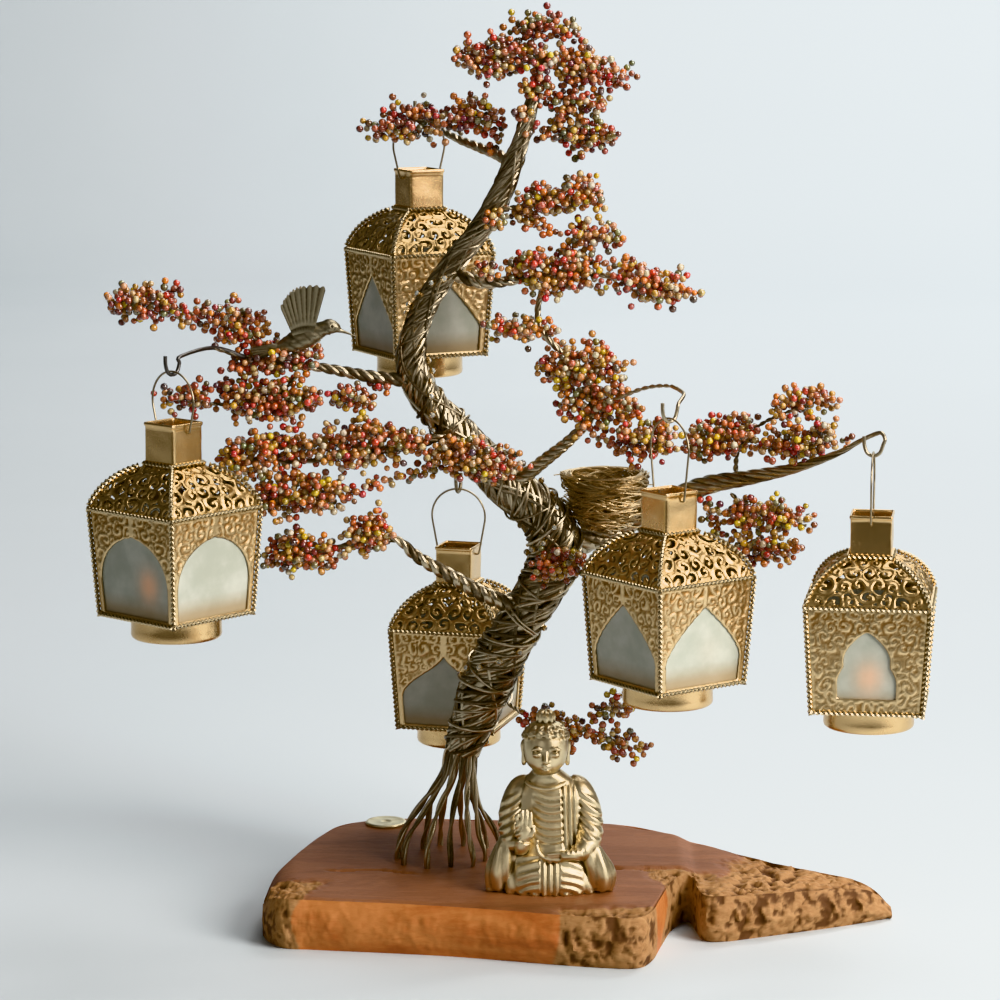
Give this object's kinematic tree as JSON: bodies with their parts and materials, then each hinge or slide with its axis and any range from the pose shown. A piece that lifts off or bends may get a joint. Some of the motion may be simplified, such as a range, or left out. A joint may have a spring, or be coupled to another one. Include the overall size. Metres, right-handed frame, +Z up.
{
  "type": "wire tree lantern holder",
  "caption": "Wire bonsai tree with glass-bead foliage on a live-edge wood slab, carrying hanging tealight lanterns, a nest, a hummingbird and a seated figure.",
  "frame": {"origin": "on the slab's flat underside, straight below the middle of the roots' feet", "axes": "+Z up the tree, +X to the viewer's right, -Y towards the viewer, who faces the figure"},
  "size_m": [0.4026, 0.2111, 0.4388],
  "materials": {
    "wood": "sanded and oiled, with a rough live edge",
    "pale_brass": "satin",
    "bronze_wire": "aged, brown in the recesses",
    "dark_wire": "dark, oiled",
    "crystal": "clear, polished",
    "glass_beads": "polished, mixed warm colours",
    "pewter": "aged cast metal, brown in the recesses",
    "antique_brass": "antiqued, dark in the recesses",
    "lantern_brass": "antiqued, bright on the raised parts",
    "frosted_glass": "frosted",
    "candle": "wax in a bare aluminium shell"
  },
  "bodies": {
    "tree": {"wood_slab": "wood", "metal_disc": "pale_brass", "root_wires": "bronze_wire", "trunk": "bronze_wire", "crystal_chain": "crystal", "left_branch": "dark_wire", "top_left_branch": "dark_wire", "lower_left_branch": "bronze_wire", "upper_right_branch": "bronze_wire", "middle_right_branch": "bronze_wire", "right_branch": "bronze_wire", "top_beads": "glass_beads", "upper_right_beads": "glass_beads", "right_beads": "glass_beads", "left_beads": "glass_beads", "lower_left_beads": "glass_beads", "low_beads": "glass_beads", "bird_nest": "pale_brass", "hummingbird": "pewter", "seated_figure": "antique_brass"},
    "bail_1": {"bail_1": "pale_brass"},
    "lantern_1": {"chimney_1": "lantern_brass", "roof_1": "lantern_brass", "body_panels_1": "lantern_brass", "glass_panes_1": "frosted_glass", "rope_trim_1": "antique_brass"},
    "cup_1": {"candle_cup_1": "pale_brass", "tealight_1": "candle"},
    "bail_2": {"bail_2": "pale_brass"},
    "lantern_2": {"chimney_2": "lantern_brass", "roof_2": "lantern_brass", "body_panels_2": "lantern_brass", "glass_panes_2": "frosted_glass", "rope_trim_2": "antique_brass"},
    "cup_2": {"candle_cup_2": "pale_brass", "tealight_2": "candle"},
    "bail_3": {"bail_3": "pale_brass"},
    "lantern_3": {"chimney_3": "lantern_brass", "roof_3": "lantern_brass", "body_panels_3": "lantern_brass", "glass_panes_3": "frosted_glass", "rope_trim_3": "antique_brass"},
    "cup_3": {"candle_cup_3": "pale_brass", "tealight_3": "candle"},
    "bail_4": {"bail_4": "pale_brass"},
    "lantern_4": {"chimney_4": "lantern_brass", "roof_4": "lantern_brass", "body_panels_4": "lantern_brass", "glass_panes_4": "frosted_glass", "rope_trim_4": "antique_brass"},
    "cup_4": {"candle_cup_4": "pale_brass", "tealight_4": "candle"},
    "bail_5": {"bail_5": "pale_brass"},
    "lantern_5": {"chimney_5": "lantern_brass", "roof_5": "lantern_brass", "body_panels_5": "lantern_brass", "glass_panes_5": "frosted_glass", "rope_trim_5": "antique_brass"},
    "cup_5": {"candle_cup_5": "pale_brass", "tealight_5": "candle"}
  },
  "joints": [
    {"name": "bail_swing_1", "type": "hinge", "parent": "tree", "child": "bail_1", "pos_m": [-0.125, -0.083, 0.27755], "axis": [0.6691, 0.7431, 0], "range_deg": [-15, 15]},
    {"name": "lantern_rock_1", "type": "hinge", "parent": "bail_1", "child": "lantern_1", "pos_m": [-0.125, -0.083, 0.251], "axis": [0.7431, -0.6691, 0], "range_deg": [-15, 15]},
    {"name": "cup_slide_1", "type": "slide", "parent": "lantern_1", "child": "cup_1", "axis": [0, 0, -1], "range_m": [0, 0.03]},
    {"name": "bail_swing_2", "type": "hinge", "parent": "tree", "child": "bail_2", "pos_m": [-0.013, 0.037, 0.38855], "axis": [-0.454, 0.891, 0], "range_deg": [-15, 15]},
    {"name": "lantern_rock_2", "type": "hinge", "parent": "bail_2", "child": "lantern_2", "pos_m": [-0.013, 0.037, 0.36], "axis": [0.891, 0.454, 0], "range_deg": [-12, 15]},
    {"name": "cup_slide_2", "type": "slide", "parent": "lantern_2", "child": "cup_2", "axis": [0, 0, -1], "range_m": [0, 0.03]},
    {"name": "bail_swing_3", "type": "hinge", "parent": "tree", "child": "bail_3", "pos_m": [0.006, 0.05, 0.20055], "axis": [0.2756, 0.9613, 0], "range_deg": [-15, 15]},
    {"name": "lantern_rock_3", "type": "hinge", "parent": "bail_3", "child": "lantern_3", "pos_m": [0.006, 0.05, 0.169], "axis": [0.9613, -0.2756, 0], "range_deg": [-4, 15]},
    {"name": "cup_slide_3", "type": "slide", "parent": "lantern_3", "child": "cup_3", "axis": [0, 0, -1], "range_m": [0, 0.03]},
    {"name": "bail_swing_4", "type": "hinge", "parent": "tree", "child": "bail_4", "pos_m": [0.106, -0.083, 0.25555], "axis": [0.8039, 0.5948, 0], "range_deg": [-6, 7]},
    {"name": "lantern_rock_4", "type": "hinge", "parent": "bail_4", "child": "lantern_4", "pos_m": [0.106, -0.083, 0.219], "axis": [0.5948, -0.8039, 0], "range_deg": [-15, 8]},
    {"name": "cup_slide_4", "type": "slide", "parent": "lantern_4", "child": "cup_4", "axis": [0, 0, -1], "range_m": [0, 0.03]},
    {"name": "bail_swing_5", "type": "hinge", "parent": "tree", "child": "bail_5", "pos_m": [0.201, -0.083, 0.23955], "axis": [0.9877, -0.1564, 0], "range_deg": [-15, 6]},
    {"name": "lantern_rock_5", "type": "hinge", "parent": "bail_5", "child": "lantern_5", "pos_m": [0.201, -0.083, 0.208], "axis": [-0.1564, -0.9877, 0], "range_deg": [-3, 15]},
    {"name": "cup_slide_5", "type": "slide", "parent": "lantern_5", "child": "cup_5", "axis": [0, 0, -1], "range_m": [0, 0.03]}
  ]
}
